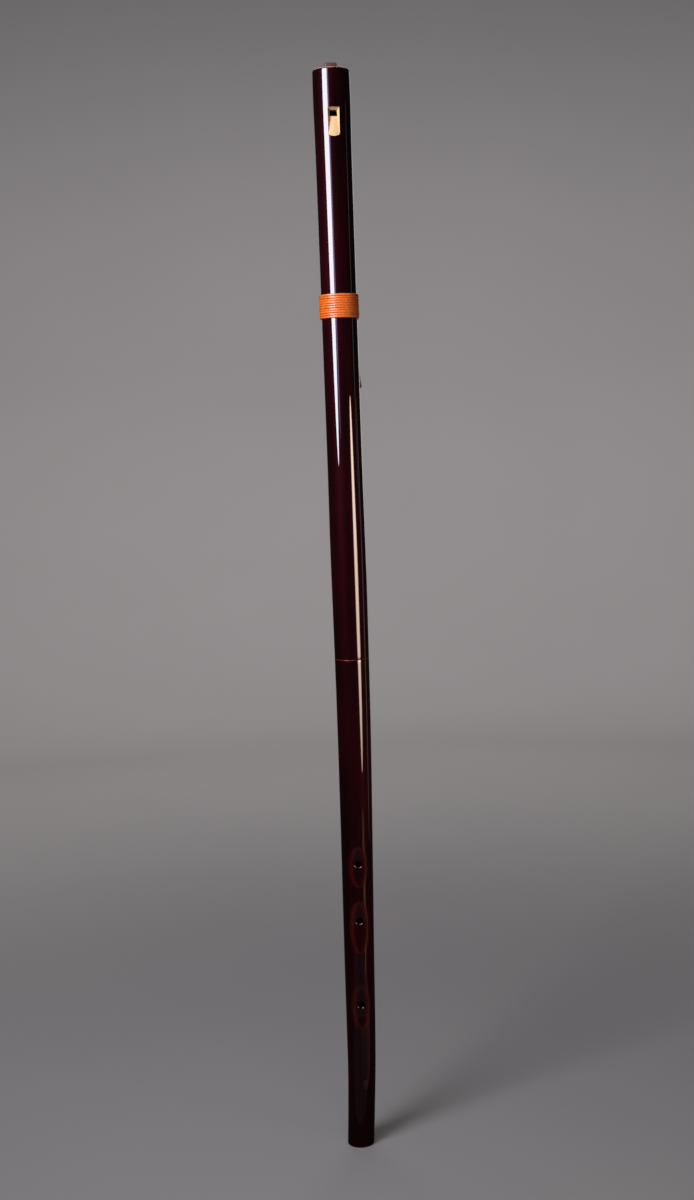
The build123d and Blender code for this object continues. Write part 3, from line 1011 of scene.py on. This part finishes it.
paper = studio_paper_painted_light()
room_radius = 4.5
cove = 1.4
cove_arc = np.radians(np.linspace(-90, 0, 17))
near_floor = 0.95
room_profile = [(0.0, 0.0), (0.0, near_floor), (0.0, 2.4)]
room_profile += [(cove + cove * math.sin(a), room_radius - cove + cove * math.cos(a)) for a in cove_arc]
room_profile += [(3.0, room_radius), (4.5, room_radius)]
room_rings = rings([h for h, _ in room_profile], [r for _, r in room_profile], columns=96)
floor_rows = sum(r < 2.5 for _, r in room_profile)


def stage_half(name, first, rows, bounces):
    """Half of the room's rows, from this column on. Reflections leave it out."""
    half = np.take(room_rings[rows], range(first, first + 49), axis=1, mode="wrap")
    count, across = half.shape[:2]
    faces = [
        (r * across + c, (r + 1) * across + c, (r + 1) * across + c + 1, r * across + c + 1)
        for r in range(count - 1)
        for c in range(across - 1)
    ]
    mesh = bpy.data.meshes.new(name)
    mesh.from_pydata(half.reshape(-1, 3).tolist(), [], faces)
    mesh.materials.append(paper.material)
    mesh.shade_smooth()
    stage = bpy.data.objects.new(name, mesh)
    bpy.context.scene.collection.objects.link(stage)
    stage.visible_glossy = False
    stage.visible_diffuse = bounces


stage_half("floor_at_the_foot", -24, slice(0, 2), True)
stage_half("floor_in_front", -24, slice(1, floor_rows), False)
stage_half("floor_behind", 24, slice(0, floor_rows), False)
stage_half("wall_in_front", -24, slice(floor_rows - 1, None), False)
stage_half("wall_behind", 24, slice(floor_rows - 1, None), False)
print("room:", 2 * room_radius, "m across")

# %% [markdown]
# A cylinder of lacquer shows a soft box as a bright strip. Its place across the tube comes from
# the box's direction, its width from the box's width, and its ends from the box's top and
# bottom. A cool box to the left lights the upper section, a lower and warmer one to the right
# lights the middle, and dim panels further round give the thin lines near the right edge. One
# more box stands behind, for whoever walks round the flute.

# %% Lights
def area_lamp(name, shape, size, energy, colour, place):
    """A lamp that the camera can't see, of (width, height), shining down from this place."""
    lamp = bpy.data.lights.new(name, "AREA")
    lamp.shape = shape
    lamp.size, lamp.size_y = size
    lamp.energy = energy
    lamp.color = colour
    box = bpy.data.objects.new(name, lamp)
    box.location = place
    box.visible_camera = False
    bpy.context.scene.collection.objects.link(box)
    return box


def soft_box(name, bearing, distance, low, high, half_width, radiance, colour, fan=180):
    """A box whose middle is this bearing from the front, in degrees, to the right of it.
    A grid on it keeps its light inside a fan of so many degrees."""
    turn = math.radians(bearing)
    toward = Vector((math.sin(turn), -math.cos(turn), 0))
    size = (2 * distance * math.tan(math.radians(half_width)), high - low)
    energy = radiance * math.pi * math.pi / 4 * size[0] * size[1]
    place = Vector((head_x * MM, 0, (low + high) / 2)) + toward * distance
    box = area_lamp(name, "ELLIPSE", size, energy, colour, place)
    box.rotation_euler = (-toward).to_track_quat("-Z", "Y").to_euler()
    if fan < 180:
        box.data.spread = math.radians(fan)
        box.data.energy *= 1 - box.data.spread / 2 / math.tan(box.data.spread / 2)


def floor_card(name, bearing, distance, size, radiance, colour):
    """A dim round card that lies on the floor, for the lacquer near the foot to mirror."""
    turn = math.radians(bearing)
    energy = radiance * math.pi * math.pi / 4 * size**2
    place = (math.sin(turn) * distance, -math.cos(turn) * distance, 0.004)
    card = area_lamp(name, "DISK", (size, size), energy, colour, place)
    card.rotation_euler = (math.pi, 0, 0)


def overhead(name, place, aim, size, power, colour):
    """A large soft light that hangs at place and points at aim."""
    box = area_lamp(name, "RECTANGLE", size, power, colour, place)
    box.rotation_euler = (Vector(aim) - Vector(place)).to_track_quat("-Z", "Y").to_euler()


soft_box("cool_box_left", -45, 1.5, 1.04, 2.7, 15, 23.0, (0.93, 0.955, 1.0))
soft_box("violet_card_left", -26, 1.5, 1.1, 2.6, 4, 5.0, (0.55, 0.50, 1.0))
soft_box("warm_box_right", 46, 1.5, 0.24, 1.20, 11, 24.0, (1.0, 0.78, 0.62), fan=44)
soft_box("brown_card_right", 44, 0.7, 0.02, 0.36, 7, 0.9, (1.0, 0.50, 0.30))
soft_box("box_behind", 165, 2.2, 0.7, 2.5, 10, 1.4, (1.0, 0.99, 0.98), fan=60)
soft_box("dim_panel_right", 97, 1.5, 0.05, 1.2, 4, 0.8, (1.0, 0.62, 0.58))
soft_box("thin_panel_right", 86, 1.5, 0.9, 1.9, 1.2, 1.3, (0.95, 0.97, 1.0))
floor_card("grey_floor_card", -10, 0.60, 1.0, 0.045, (1.0, 0.9, 0.9))
floor_card("brown_floor_card", 32, 0.52, 0.62, 0.20, (1.0, 0.52, 0.42))
overhead("top_light", (-0.2, -1.3, 3.2), (0.0, 0.0, 0.3), (1.2, 0.5), 9.0, (1.0, 0.99, 0.98))
overhead("back_light", (0.2, 1.8, 3.4), (0.0, 0.0, 0.8), (2.0, 1.0), 14.0, (1.0, 0.99, 0.98))
for name, side in (("wall_wash_behind", 1), ("wall_wash_in_front", -1)):
    overhead(name, (0, 1.5 * side, 3.2), (0, 4.4 * side, 0.6), (1.6, 0.6), 44.0, (1.0, 0.99, 1.0))

world = bpy.data.worlds.new("dark_studio")
world.use_nodes = True
world.node_tree.nodes["Background"].inputs["Color"].default_value = (0.012, 0.012, 0.013, 1)
bpy.context.scene.world = world
bpy.context.scene.view_settings.view_transform = "Standard"
